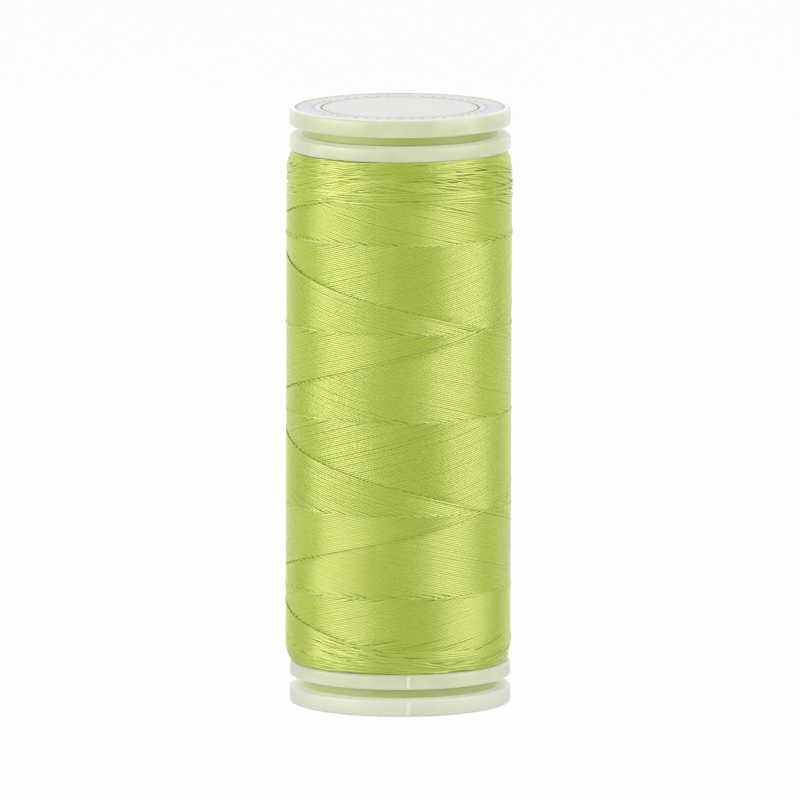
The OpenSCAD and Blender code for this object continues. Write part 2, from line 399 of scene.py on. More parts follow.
@dataclass(frozen=True)
class FrostedPlastic(Finish):
    """Natural moulded plastic, milky, with light painted into its colour: olive painted shade, with the
    thread's green light in it, near the barrel; painted light from the table near its base; painted
    highlights on its ridges.
    """

    name = "frosted_plastic"
    clear: Colour = (0.575, 0.62, 0.385, 1.0)
    pale: Colour = (0.645, 0.68, 0.475, 1.0)
    # Painted shade: the olive colour near the barrel, for the shade in the grooves and the thread's green
    # light.
    groove_painted_shade: Colour = (0.59, 0.63, 0.165, 1.0)
    # Painted light from the table: the paler colour near the base.
    table_painted_light: Colour = (0.76, 0.78, 0.66, 1.0)
    # Painted highlight on the moulding ridges.
    ridge_painted_highlight: Colour = (0.79, 0.81, 0.67, 1.0)
    painted_shade_from_r: float = 12.75 * MM
    painted_shade_full_r: float = 11.45 * MM
    painted_shade_inner_r: float = 10.6 * MM
    inner_share: float = 0.35
    table_reach: Pair = (1.0 * MM, 6.5 * MM)
    table_share: float = 0.7
    table_fade: float = -0.4
    ridge_h: float = 0.07 * MM
    grain_scale: float = 5200.0
    cloud_scale: float = 260.0
    bump_strength: float = 0.25
    bump_depth: float = 0.02 * MM
    depth: float = 1.6 * MM
    roughness: Pair = (0.37, 0.48)

    def inputs(self, recipe: Recipe) -> dict[str, object]:
        """What varies over its surface, and what doesn't."""
        mottle, split, radius = grained_surface(recipe, self.grain_scale, self.cloud_scale)
        # Painted shade: within about 12.75 mm of the axis the colour turns olive, for the shade in the
        # grooves and the thread's green light; weaker in the bore.
        outer = recipe.ramp(radius, self.painted_shade_full_r, self.painted_shade_from_r, 1.0, 0.0)
        inner = recipe.ramp(radius, self.painted_shade_inner_r, self.painted_shade_full_r, self.inner_share, 1.0)
        # Painted light from the table: paler colour near the base, where the painted shade also weakens.
        table = recipe.ramp(split.outputs[2], *self.table_reach, self.table_share, 0.0)
        faded = recipe.math("MULTIPLY_ADD", table, self.table_fade, 1.0)
        share = recipe.math("MULTIPLY", recipe.math("MULTIPLY", outer, inner), faded)
        cloud = recipe.ramp(mottle.outputs["Cloud"], *NOISE_SPAN)
        milk = recipe.blend(cloud, self.clear, self.pale)
        milk = recipe.blend(table, milk, self.table_painted_light)
        # Painted highlight: the moulding ridges are paler, as if catching the light.
        on_ridge = recipe.ramp(radius, RIM_R, RIM_R + self.ridge_h)
        milk = recipe.blend(on_ridge, milk, self.ridge_painted_highlight)
        return {
            "Base Color": recipe.blend(share, milk, self.groove_painted_shade),
            "Normal": recipe.bump(mottle.outputs["Height"], self.bump_strength, self.bump_depth),
            "Roughness": recipe.ramp(mottle.outputs["Cloud"], *NOISE_SPAN, *self.roughness),
            "IOR": 1.5,
            "Coat Weight": 1.0,
            "Coat Roughness": 0.3,
            "Sheen Weight": 1.0,
            "Sheen Roughness": 0.5,
            "Subsurface Weight": 0.75,
            "Subsurface Radius": (1.0, 1.0, 0.75),
            "Subsurface Scale": self.depth,
        }


@dataclass(frozen=True)
class LabelPaper(Finish):
    """Coated white paper with a plain printed border: a thin ring and a row of dots."""

    name = "label_paper"
    warm: Colour = (0.86, 0.85, 0.82, 1.0)
    cool: Colour = (0.78, 0.82, 0.86, 1.0)
    ink: Colour = (0.20, 0.22, 0.21, 1.0)
    ink_share: float = 0.85
    margin_r: float = 11.2 * MM
    ring_r: float = 9.3 * MM
    ring_w: float = 0.22 * MM
    ring_edge: Pair = (0.5, 0.7)
    dots_r: float = 10.3 * MM
    dot_r: float = 0.24 * MM
    dot_edge: Pair = (0.85, 1.1)
    dot_count: int = 48
    grain_scale: float = 3000.0
    cloud_scale: float = 180.0
    bump_strength: float = 0.3
    bump_depth: float = 0.01 * MM
    roughness: Pair = (0.38, 0.5)

    def inputs(self, recipe: Recipe) -> dict[str, object]:
        """What varies over its surface, and what doesn't."""
        mottle, split, radius = grained_surface(recipe, self.grain_scale, self.cloud_scale)
        outside = recipe.ramp(radius, self.ring_r, self.margin_r)
        paper = recipe.blend(outside, self.warm, self.cool)
        off_ring = recipe.math("ABSOLUTE", recipe.math("SUBTRACT", radius, self.ring_r))
        soft, clear = (self.ring_w * share for share in self.ring_edge)
        ring = recipe.ramp(off_ring, soft, clear, 1.0, 0.0)
        turned = recipe.math("ARCTAN2", split.outputs[1], split.outputs[0])
        along = recipe.math("PINGPONG", turned, math.pi / self.dot_count)
        across = recipe.math("SUBTRACT", radius, self.dots_r)
        beside = recipe.math("MULTIPLY", along, self.dots_r)
        off_dot = recipe.distance(across, beside)
        soft, clear = (self.dot_r * share for share in self.dot_edge)
        dots = recipe.ramp(off_dot, soft, clear, 1.0, 0.0)
        share = recipe.math("MULTIPLY", recipe.math("MAXIMUM", ring, dots), self.ink_share)
        return {
            "Base Color": recipe.blend(share, paper, self.ink),
            "Normal": recipe.bump(mottle.outputs["Height"], self.bump_strength, self.bump_depth),
            "Roughness": recipe.ramp(mottle.outputs["Cloud"], *NOISE_SPAN, *self.roughness),
            "Specular IOR Level": 0.4,
        }


@dataclass(frozen=True)
class LustrousThread(Finish):
    """Plied filament thread with a silky lustre. U of its map runs along the thread, in millimetres."""

    name = "lustrous_thread"
    colour: Colour = (0.505, 0.705, 0.018, 1.0)
    shade: Colour = (0.455, 0.64, 0.014, 1.0)
    tint: Colour = (1.0, 0.95, 0.48, 1.0)
    fuzz: Colour = (1.0, 1.0, 0.75, 1.0)
    plies: int = 2
    lead: float = 1.0
    crown_full: float = 0.2
    drift_pace: float = 0.05
    drift_dim: float = 0.75
    fibre_along: float = 2.0
    fibre_across: float = 14.0
    fibre_scale: float = 2.0
    fibre_height: float = 0.5
    bump_strength: float = 0.37
    bump_depth: float = 0.012 * MM
    roughness: float = 0.34
    ior: float = 2.7

    def inputs(self, recipe: Recipe) -> dict[str, object]:
        """What varies over its surface, and what doesn't."""
        flat = recipe.add("SeparateXYZ", {0: recipe.add("TexCoord").outputs["UV"]})
        along, around = flat.outputs[0], flat.outputs[1]
        phase = recipe.math("MULTIPLY_ADD", along, -1 / self.lead, around)
        wave = recipe.math("COSINE", recipe.math("MULTIPLY", phase, 2 * math.pi * self.plies))
        crown = recipe.ramp(wave, -1.0, self.crown_full)
        paced = {"W": recipe.math("MULTIPLY", along, self.drift_pace), "Scale": 1.0}
        drift = recipe.add("TexNoise", paced, noise_dimensions="1D").outputs[0]
        across = recipe.math("MULTIPLY", phase, self.fibre_across)
        onward = recipe.math("MULTIPLY", along, self.fibre_along)
        place = recipe.add("CombineXYZ", {0: onward, 1: across}).outputs[0]
        fibre = recipe.add("TexNoise", {"Vector": place, "Scale": self.fibre_scale, "Detail": 2.0}).outputs[0]
        # Painted shade: the colour is darker between the plies' crowns, and dimmed at random along the
        # thread.
        tone = recipe.math("MULTIPLY", crown, recipe.ramp(drift, *NOISE_SPAN, self.drift_dim, 1.0))
        height = recipe.math("MULTIPLY_ADD", fibre, self.fibre_height, crown)
        return {
            "Base Color": recipe.blend(tone, self.shade, self.colour),
            "Normal": recipe.bump(height, self.bump_strength, self.bump_depth),
            "Roughness": self.roughness,
            "IOR": self.ior,
            "Specular IOR Level": 1.0,
            "Specular Tint": self.tint,
            "Coat Weight": 0.8,
            "Coat Roughness": 0.25,
            "Coat IOR": 1.5,
            "Sheen Weight": 0.9,
            "Sheen Roughness": 0.25,
            "Sheen Tint": self.fuzz,
        }


@dataclass(frozen=True)
class DeepThread(Finish):
    """The thread's inner layers, seen only through the gaps of the outer ones."""

    name = "deep_thread"
    colour: Colour = (0.46, 0.655, 0.018, 1.0)
    shade: Colour = (0.375, 0.54, 0.013, 1.0)
    strand: float = 0.22 * MM
    bump_strength: float = 0.8
    bump_depth: float = 0.08 * MM
    roughness: float = 0.6

    def inputs(self, recipe: Recipe) -> dict[str, object]:
        """What varies over its surface, and what doesn't."""
        split = recipe.add("SeparateXYZ", {0: recipe.add("TexCoord").outputs["Object"]})
        # Painted shade: the colour darkens between the strands, and both colours are a little darker than the
        # outer thread's, for the shade down the gaps.
        turned = recipe.math("MULTIPLY", split.outputs[2], 2 * math.pi / self.strand)
        crown = recipe.ramp(recipe.math("SINE", turned), -1.0, 1.0)
        return {
            "Base Color": recipe.blend(crown, self.shade, self.colour),
            "Normal": recipe.bump(crown, self.bump_strength, self.bump_depth),
            "Roughness": self.roughness,
        }


# ---- the spool's mouldings and labels


@dataclass
class Flange:
    """A winding flange, pressed on the barrel's stepped end."""

    node: str
    ridge_angle: float
    spigot_step: float = 0.5 * MM
    edge_r: float = 0.3 * MM
    ridge_proud: float = 0.08 * MM

    def build(self, plastic: Material) -> None:
        """Turns the flange, rounds its rim and raises its ridges."""
        low, high = (corner.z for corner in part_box(self.node))
        bore_r = BARREL_R - self.spigot_step
        outline = [(bore_r, low), (RIM_R, low), (RIM_R, high), (bore_r, high)]
        angle = math.radians(self.ridge_angle)
        piece = turn(self.node + "_moulded", outline, RIM_FLATS, angle + FLAT_ANGLE / 2)
        bevel_rings(piece, [(RIM_R, low), (RIM_R, high)], self.edge_r, EDGE_STEPS)
        raise_ridges(piece, RIM_R, (low, high), angle, self.ridge_proud)
        smooth(piece)
        dress(piece, Body.SPOOL, Slot.PLASTIC, plastic, self.node)


@dataclass
class SnapCap:
    """A cap that snaps into one end of the barrel, with a seat for a paper label in its disc."""

    node: str
    body: Body
    seat_z: float
    outward: int
    ridge_angle: float
    groove_h: float = 1.15 * MM
    disc_t: float = 2.05 * MM
    skirt_l: float = 6 * MM
    skirt_wall: float = 1 * MM
    bore_r: float = 10 * MM
    slide_clear: float = 0.08 * MM
    bead_h: float = 0.8 * MM
    bead_catch: float = 0.25 * MM
    lip_w: float = 0.65 * MM
    seat_depth: float = 0.2 * MM
    hole_r: float = 4.5 * MM
    slot_w: float = 1.4 * MM
    slot_l: float = 5 * MM
    finger_count: int = 6
    slot_over: float = 0.3 * MM
    slot_reach: float = 2.2
    edge_r: float = 0.3 * MM
    seat_edge_r: float = 0.07 * MM
    seat_steps: int = 3
    ridge_proud: float = 0.08 * MM

    def height(self, above_seat: float) -> float:
        """Height in the spool of a place that far out from the cap's seat."""
        return self.seat_z + self.outward * above_seat

    def outline(self) -> list[Pair]:
        """The cap's turned outline, from its hole round its skirt and disc."""
        skirt_ro = self.bore_r - self.slide_clear
        skirt_ri = skirt_ro - self.skirt_wall
        bead_r = self.bore_r + self.bead_catch
        seat_r = RIM_R - self.lip_w
        tip, groove = -self.skirt_l, self.groove_h
        top = groove + self.disc_t
        seat = top - self.seat_depth
        corners = [
            (self.hole_r, groove),
            (skirt_ri, groove),
            (skirt_ri, tip),
            (skirt_ro - self.bead_catch, tip),
            (bead_r, tip + self.bead_h / 2),
            (bead_r, tip + self.bead_h),
            (skirt_ro, tip + self.bead_h),
            (skirt_ro, 0),
            (BARREL_R, 0),
            (BARREL_R, groove),
            (RIM_R, groove),
            (RIM_R, top),
            (seat_r, top),
            (seat_r, seat),
            (self.hole_r, seat),
        ]
        return [(r, self.height(z)) for r, z in corners]

    def cut_slots(self, piece: Object) -> None:
        """Cuts the slots that part the skirt into snap fingers."""
        deselect_all()
        over = self.slot_over
        middle = self.height(-self.skirt_l - over + (self.slot_l + over) / 2)
        cutters = []
        for k in range(self.finger_count // 2):
            bpy.ops.mesh.primitive_cube_add(
                size=1, location=(0, 0, middle), rotation=(0, 0, k * 2 * math.pi / self.finger_count),
                scale=(self.slot_reach * self.bore_r, self.slot_w, self.slot_l + over),
            )
            cutters.append(bpy.context.object)
        for cutter in cutters:
            settle(cutter)
            apply_modifier(piece, "BOOLEAN", object=cutter, operation="DIFFERENCE", solver="EXACT")
            bpy.data.objects.remove(cutter)

    def build(self, plastic: Material) -> None:
        """Turns the cap, rounds its rim, raises its ridges and parts its skirt."""
        top = self.groove_h + self.disc_t
        inner, outer = sorted((self.height(self.groove_h), self.height(top)))
        angle = math.radians(self.ridge_angle)
        piece = turn(self.node + "_moulded", self.outline(), RIM_FLATS, angle + FLAT_ANGLE / 2)
        bevel_rings(piece, [(RIM_R, inner), (RIM_R, outer)], self.edge_r, EDGE_STEPS)
        bevel_rings(piece, [(RIM_R - self.lip_w, self.height(top))], self.seat_edge_r, self.seat_steps)
        raise_ridges(piece, RIM_R, (inner, outer), angle, self.ridge_proud)
        self.cut_slots(piece)
        smooth(piece)
        dress(piece, self.body, Slot.PLASTIC, plastic, self.node)


@dataclass
class PaperLabel:
    """A round paper label in a cap's seat."""

    node: str
    body: Body
    hole_r: float | None = None
    flats: int = 160
    inner_rings: tuple[float, ...] = (0.35 * MM, 2.5 * MM, 3 * MM)
    edge_r: float = 0.02 * MM
    edge_steps: int = 2

    def build(self, paper: Material) -> None:
        """Cuts the disc, or the ring where it has a hole, at its thickness with soft edges."""
        low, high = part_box(self.node)
        if self.hole_r:
            inner, outer = self.hole_r, high.x
            outline = [(inner, low.z), (outer, low.z), (outer, high.z), (inner, high.z)]
            piece = turn(self.node + "_paper", outline, self.flats)
        else:
            deselect_all()
            bpy.ops.mesh.primitive_cylinder_add(
                vertices=self.flats, radius=high.x, depth=high.z - low.z,
                location=(0, 0, (low.z + high.z) / 2), end_fill_type="NGON",
            )
            piece = bpy.context.object
            piece.name = self.node + "_paper"
            settle(piece)
            set_mode("EDIT")
            pick(piece, "FACE", lambda middle: math.hypot(middle.x, middle.y) < 1 * MM)
            for ring in self.inner_rings:
                bpy.ops.mesh.inset(thickness=ring, depth=0)
            set_mode("OBJECT")
        apply_modifier(piece, "BEVEL", width=self.edge_r, segments=self.edge_steps, limit_method="ANGLE")
        smooth(piece)
        dress(piece, self.body, Slot.PAPER, paper, self.node)


# ---- the wound thread


def ease(t: Array) -> Array:
    """Eases from 0 to 1."""
    t = np.clip(t, 0, 1)
    return t * t * (3 - 2 * t)


def unit(vectors: Array) -> Array:
    """Vectors brought to a length of 1."""
    return vectors / np.linalg.norm(vectors, axis=1, keepdims=True)


def soft_min(a: Array, b: Array, k: float) -> Array:
    """The lower of two values, rounded where they are closer than k."""
    near = np.clip(1 - np.abs(a - b) / k, 0, 1)
    return np.minimum(a, b) - near * near * k / 4


def soft_noise(rng: np.random.Generator, places: Array, step: float) -> Array:
    """Smooth noise of about unit size.

    Args:
        rng: Source of the draws.
        places: Where the noise is wanted, from 0 up.
        step: Distance between two draws.

    Returns:
        The noise at each place.
    """
    draws = rng.standard_normal(int(places.max() / step) + 3)
    at = places / step
    k = at.astype(int)
    return draws[k] + (draws[k + 1] - draws[k]) * ease(at - k)


@dataclass(frozen=True)
class EndLayer:
    """Older, nearly level wraps beside a flange: their pitch, their depth in layers, how far they stray."""

    pitch: float
    level: float
    wave: float


@dataclass
class WoundThread:
    """One thread, cross-wound: it runs up and down the barrel, always turning the same way.

    Lengths are in millimetres and angles in degrees of wrap. A cycle is a run up and a run down. Each cycle
    starts a little further round than the one before, so that the runs lie side by side, and the youngest
    of two runs that cross lies on top. Heights above the layer are in thicknesses of the thread.

    Attributes:
        lean: How far the package stands off the axis, at its lower and its upper face.
        top_cuts, base_cuts: How far short of a flange a run turns back at most.
        cut_bend: Least and most rounding of such a turn.
        held_at: How far off the steady climb a run counts as held back by its turn.
        held_lift: What held runs gain in height, at once and as the winding goes on.
        cover_reach: Runs over which the newest ones rise from under the older.
        uneven: Shift of each line of crossings, from the lower one up.
        map_step: Thread that the map counts in a degree of wrap.
        start_depth, core_depth: How deep the thread's start and the inner layers lie.
    """

    thread_w: float = 0.275
    thread_t: float = 0.18
    outer_r: float = 13.29
    lean: Pair = (-0.25, -0.06)
    cycles: int = 92
    run_turns: int = 3
    end_angle: float = -39.5
    flange_gap: float = 0.13
    turn_wrap: float = 25.0
    ring_step: float = 4.0
    sides: int = 6
    shoulder_drop: float = 0.65
    shoulder_l: float = 2.0
    shoulder_power: float = 1.5
    nesting: float = 0.85
    crossing_ridge: float = 0.9
    end_ridge: float = 1.2
    top_cuts: float = 5.0
    base_cuts: float = 3.0
    cut_power: float = 2.2
    cut_bend: Pair = (0.3, 2.4)
    held_at: float = 0.4
    held_lift: Pair = (0.2, 0.5)
    cover_reach: float = 1.4
    stray_z: float = 0.012
    stray_steps: Pair = (70.0, 22.0)
    fine_stray: float = 0.5
    stray_r: float = 0.008
    stray_r_step: float = 35.0
    stray_crossing: float = 3.5
    crossing_reach: float = 3.0
    stray_held: float = 0.08
    stray_held_step: float = 80.0
    last_proud: float = 0.38
    last_fade: float = 0.05
    start_depth: float = 2.0
    start_wrap: float = 60.0
    core_depth: float = 2.15
    core_steps: int = 8
    uneven: tuple[float, ...] = (0.0, -0.6, -1.25, -0.4, -0.4, -0.1, 0.0)
    map_step: float = 0.236458
    map_stray: float = 0.06
    map_stray_step: float = 250.0
    end_layers: tuple[EndLayer, ...] = (EndLayer(0.21, 1.0, 0.04), EndLayer(0.42, 0.75, 0.3))
    piece_count: int = 4
    seed: int = 7

    def __post_init__(self) -> None:
        """Works out the run from the flanges and the number of cycles."""
        low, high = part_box("thread_core")
        self.face_z = (low.z / MM, high.z / MM)
        self.low_z = self.face_z[0] + self.flange_gap
        self.high_z = self.face_z[1] - self.flange_gap
        self.step = 360 / self.cycles
        self.cycle = 720 * self.run_turns + self.step
        self.run = self.cycle / 2
        self.climb = (self.high_z - self.low_z) / (self.run - self.turn_wrap)

    def gained(self, wrap: Array) -> Array:
        """Height gained after a turn: a parabola first, and then a steady climb."""
        q = self.turn_wrap
        return self.climb * np.where(wrap < q, wrap * wrap / (2 * q), wrap - q / 2)

    def steady_z(self, wrap: Array) -> Array:
        """Height after some wrap of a run up, if no run is cut short."""
        span = self.high_z - self.low_z
        return self.low_z + np.where(
            wrap < self.run / 2, self.gained(wrap), span - self.gained(self.run - wrap)
        )

    def wrap_at(self, z: Array) -> Array:
        """Wrap of a run up at a height: the inverse of steady_z."""
        q, span = self.turn_wrap, self.high_z - self.low_z
        up = np.clip(z - self.low_z, 0, span)
        near = np.minimum(up, span - up) / self.climb
        wrap = np.where(near < q / 2, np.sqrt(2 * q * near), near + q / 2)
        return np.where(up < span / 2, wrap, self.run - wrap)

    def shoulder(self, z: Array) -> Array:
        """How far the package draws in at a height."""
        d = np.clip(np.minimum(z - self.face_z[0], self.face_z[1] - z), 0, None) / self.shoulder_l
        inside = np.clip(1 - d, 0, 1)
        return self.shoulder_drop * inside**self.shoulder_power

    def place(self, theta: Array, radius: Array, z: Array) -> Array:
        """Points about the package's own axis, which leans a little. Their angles are in radians."""
        off_axis = np.interp(z, self.face_z, self.lean)
        return np.stack([radius * np.cos(theta) + off_axis, radius * np.sin(theta), z], -1)

    def settle_z(self, z: Array) -> Array:
        """Shifts the heights as an uneven traverse does, by an amount at each line of crossings."""
        places, reach = 600, 20
        lines = self.steady_z(np.linspace(0, self.run, len(self.uneven)))
        grid = np.linspace(self.low_z, self.high_z, places)
        shift = np.interp(grid, lines, self.uneven)
        kernel = np.hanning(2 * reach + 1)
        shift = np.convolve(np.pad(shift, reach, mode="edge"), kernel / kernel.sum(), mode="valid")
        return z + np.interp(z, grid, shift)

    def hidden_by(self, own: Array, place: Array, lag: Array) -> Array:
        """How far a run lies under the runs of one family.

        Args:
            own: Time of the run here, in cycles.
            place: Number of the family's run here, from -0.5 up.
            lag: Time of the family's runs here less their number, in cycles.

        Returns:
            0 where the run is the younger, and 1 where it is the older.
        """
        under = 1 - ease((own - (place + lag) + 1) / 2)
        newest = 1 - ease((own - (self.cycles - 1 + lag) + 1) / 2)
        rise = (place + 0.5) / self.cover_reach
        return np.maximum(under, newest * (1 - ease(rise)))

    def path(self) -> tuple[Array, Array, Array]:
        """Angle, radius and height of the thread at each ring of its tube, without its tail."""
        rng = np.random.default_rng(self.seed)
        total = self.cycles * self.cycle
        u = np.arange(0, total, self.ring_step)
        theta = self.end_angle + u - total
        within = np.mod(u, self.cycle)
        upward = within <= self.run
        wrap = np.where(upward, within, self.cycle - within)
        steady = self.steady_z(wrap)
        top_cut = self.top_cuts * rng.random(self.cycles + 1) ** self.cut_power
        base_cut = self.base_cuts * rng.random(self.cycles + 1) ** self.cut_power
        base_cut[-1] = 0
        top_cut = top_cut[(u // self.cycle).astype(int)]
        base_cut = base_cut[np.round(u / self.cycle).astype(int)]
        z = soft_min(steady, self.high_z - top_cut, np.clip(top_cut, *self.cut_bend))
        z = -soft_min(-z, -self.low_z - base_cut, np.clip(base_cut, *self.cut_bend))
        held = ease(np.abs(z - steady) / self.held_at)
        own = u / self.cycle
        here = self.wrap_at(z)
        round_ = (theta - self.end_angle) / self.step
        up_place = np.mod(round_ - here / self.step + 0.5, self.cycles) - 0.5
        down_place = np.mod(round_ + here / self.step - 1 + 0.5, self.cycles) - 0.5
        up_lag = here / self.cycle
        under_up = self.hidden_by(own, up_place, up_lag)
        under_down = self.hidden_by(own, down_place, 1 - up_lag)
        other = np.where(upward, under_down, under_up)
        same = np.where(upward, under_up, under_down)
        apart = np.abs(up_place + up_lag - down_place - (1 - up_lag))
        ridge = self.crossing_ridge + self.end_ridge * np.abs(2 * here / self.run - 1) ** 3
        at_once, in_time = self.held_lift
        lift = held * (1 - same) * (at_once + in_time * own / self.cycles)
        level = lift - other + ridge * np.exp(-apart * apart)
        last = ease((own - self.cycles + 1) / self.last_fade)
        level = level + self.last_proud * last
        stray = self.stray_z * (1 + self.stray_crossing * np.exp(-((apart / self.crossing_reach) ** 2)))
        coarse, fine = (soft_noise(rng, u, step) for step in self.stray_steps)
        z = z + stray * (coarse + self.fine_stray * fine)
        z = z + self.stray_held * held * soft_noise(rng, u, self.stray_held_step)
        z = np.clip(z, self.low_z, self.high_z)
        z = self.settle_z(z)
        radius = (
            self.outer_r - self.thread_t / 2 + level * self.nesting * self.thread_t
            + self.stray_r * soft_noise(rng, u, self.stray_r_step) - self.shoulder(z)
        )
        buried = self.start_depth * self.thread_t * (1 - ease(u / self.start_wrap))
        return np.radians(theta), radius - buried, z

    def tail(self, start: tuple[float, float, float]) -> tuple[Array, Array, Array]:
        """The thread's end: along the lower flange, over its rim, and into the groove under it.

        Args:
            start: Angle in radians, radius and height where the wound thread ends.

        Returns:
            Angle, radius and height of each ring.
        """
        fall_from, fall_z, fall = 10.0, 5.45, 0.059
        out_from, out_wrap, in_from, in_wrap = -8.0, 24.0, 56.6, 45.0
        rim_r, floor_r, groove_z, stop, bend = 13.3, 11.62, 2.70, 161.6, 0.3
        corner, rise = 0.1, 0.2
        theta = np.arange(math.degrees(start[0]) + self.ring_step, stop, self.ring_step)
        line = fall_z - fall * (theta - fall_from)
        z = soft_min(np.full_like(line, start[2]), line, corner)
        z = -soft_min(-z, np.full_like(line, -groove_z), corner)
        out = ease((theta - out_from) / out_wrap)
        into = ease((theta - in_from) / in_wrap)
        radius = start[1] + (rim_r - start[1]) * out
        radius = radius + (floor_r - radius) * into
        turn_angles = np.radians([90, 60, 30, 0, 0])
        reach = math.degrees(bend / floor_r)
        end_theta = stop + reach * np.cos(turn_angles)
        end_z = groove_z + bend * (1 - np.sin(turn_angles)) + np.array([0, 0, 0, 0, rise])
        theta = np.concatenate([theta, end_theta])
        return (
            np.radians(theta),
            np.concatenate([radius, np.full_like(end_theta, floor_r)]),
            np.concatenate([z, end_z]),
        )

    def end_wraps(self, rng: np.random.Generator, at_top: bool, layer: EndLayer) -> Array:
        """Nearly level wraps of an older layer beside one flange.

        Args:
            rng: Source of their unevenness.
            at_top: Whether they lie beside the upper flange.
            layer: Their layer.

        Returns:
            The points of the thread.
        """
        past_cuts, wave_step, sink_from, sink_over = 0.5, 75.0, 0.4, 1.5
        reach = (self.top_cuts if at_top else self.base_cuts) + past_cuts
        turned = np.arange(0, 360 * reach / layer.pitch, self.ring_step)
        depth = self.flange_gap + layer.pitch * turned / 360
        depth = depth + layer.wave * soft_noise(rng, turned, wave_step) * np.clip(2 * depth, 0, 1)
        depth = np.clip(depth, self.flange_gap, None)
        z = self.face_z[1] - depth if at_top else self.face_z[0] + depth
        deep = layer.level * (0.5 + 0.5 * ease((depth - sink_from) / sink_over))
        radius = self.outer_r - self.thread_t / 2 - deep * self.nesting * self.thread_t - self.shoulder(z)
        radius = radius + self.stray_r * soft_noise(rng, turned, self.stray_r_step)
        return self.place(np.radians(turned), radius, z)

    def tube(self, name: str, points: Array, along: Array) -> Object:
        """Makes a closed tube along points that wind about the Z axis.

        Args:
            name: Name of the piece.
            points: The points, in metres.
            along: Length of the thread at each point, in millimetres, for the U of its map.

        Returns:
            The piece.
        """
        count, sides = len(points), self.sides
        forward = unit(np.gradient(points, axis=0))
        out = unit(points * [1, 1, 0])
        out = unit(out - forward * np.sum(out * forward, axis=1, keepdims=True))
        side = np.cross(forward, out)
        turned = np.arange(sides) * 2 * np.pi / sides
        rise = self.thread_t / 2 * np.cos(turned)[None, :, None] * out[:, None, :]
        span = self.thread_w / 2 * np.sin(turned)[None, :, None] * side[:, None, :]
        verts = (points[:, None, :] + MM * (rise + span)).reshape(-1, 3)
        k, s = np.meshgrid(np.arange(count - 1), np.arange(sides), indexing="ij")
        after = (s + 1) % sides
        this, following = k * sides, (k + 1) * sides
        quads = np.stack([this + s, this + after, following + after, following + s], -1).reshape(-1, 4)
        ends = [list(range(sides))[::-1], list(range((count - 1) * sides, count * sides))]
        mesh = bpy.data.meshes.new(name)
        mesh.from_pydata(verts.tolist(), [], quads.tolist() + ends)
        u = np.stack([along[k], along[k], along[k + 1], along[k + 1]], -1)
        v = np.stack([s, s + 1, s + 1, s], -1) / sides
        layer = mesh.uv_layers.new(name="along_thread")
        flat = np.stack([u, v], -1).reshape(-1, 2)
        caps = np.zeros((2 * sides, 2))
        layer.data.foreach_set("uv", np.concatenate([flat, caps]).astype(np.float32).ravel())
        mesh.shade_smooth()
        piece = bpy.data.objects.new(name, mesh)
        bpy.context.scene.collection.objects.link(piece)
        return piece

    def build_core(self, deep: Material) -> None:
        """Turns the inner layers as one body, just under the outer ones."""
        low, high = self.face_z
        rise = self.shoulder_l * (1 - np.cos(np.linspace(0, np.pi / 2, self.core_steps)))
        heights = np.concatenate([low + rise, (high - rise)[::-1]])
        radii = self.outer_r - self.core_depth * self.thread_t - self.shoulder(heights)
        outline = [(BARREL_R, low * MM), *zip(radii * MM, heights * MM), (BARREL_R, high * MM)]
        piece = turn("thread_inner_layers", [(float(r), float(z)) for r, z in outline], RIM_FLATS)
        smooth(piece)
        dress(piece, Body.SPOOL, Slot.THREAD, deep, "thread_core")

    def build(self, lustrous: Material, deep: Material) -> None:
        """Winds the thread, in a few pieces that follow each other along it."""
        self.build_core(deep)
        theta, radius, z = self.path()
        wound = len(theta)
        more = self.tail((theta[-1], radius[-1], z[-1]))
        theta, radius, z = (np.concatenate(pair) for pair in zip((theta, radius, z), more))
        points = self.place(theta, radius, z)
        length = np.sum(np.linalg.norm(np.diff(points, axis=0), axis=1))
        LOG.info("thread is %.2f m long in its outer layers", length / 1000)
        turned = np.degrees(theta - theta[0])
        map_rng = np.random.default_rng(self.seed)
        along = turned * self.map_step + self.map_stray * soft_noise(map_rng, turned, self.map_stray_step)
        cuts = [round(wound * k / self.piece_count) for k in range(self.piece_count)] + [len(theta)]
        for number, (first, last) in enumerate(zip(cuts, cuts[1:]), 1):
            part = slice(first, min(last + 1, len(theta)))
            mapped = along[part] - math.floor(along[first])
            piece = self.tube(f"thread_wraps_{number}", points[part] * MM, mapped)
            dress(piece, Body.SPOOL, Slot.THREAD, lustrous, "thread_winding")
        rng = np.random.default_rng(self.seed + 1)
        for name, at_top in (("upper", True), ("lower", False)):
            for number, layer in enumerate(self.end_layers, 1):
                points = self.end_wraps(rng, at_top, layer)
                along = np.concatenate([[0], np.cumsum(np.linalg.norm(np.diff(points, axis=0), axis=1))])
                piece = self.tube(f"thread_{name}_end_{number}", points * MM, along)
                dress(piece, Body.SPOOL, Slot.THREAD, lustrous, "thread_winding")


# ---- the whole spool and its studio


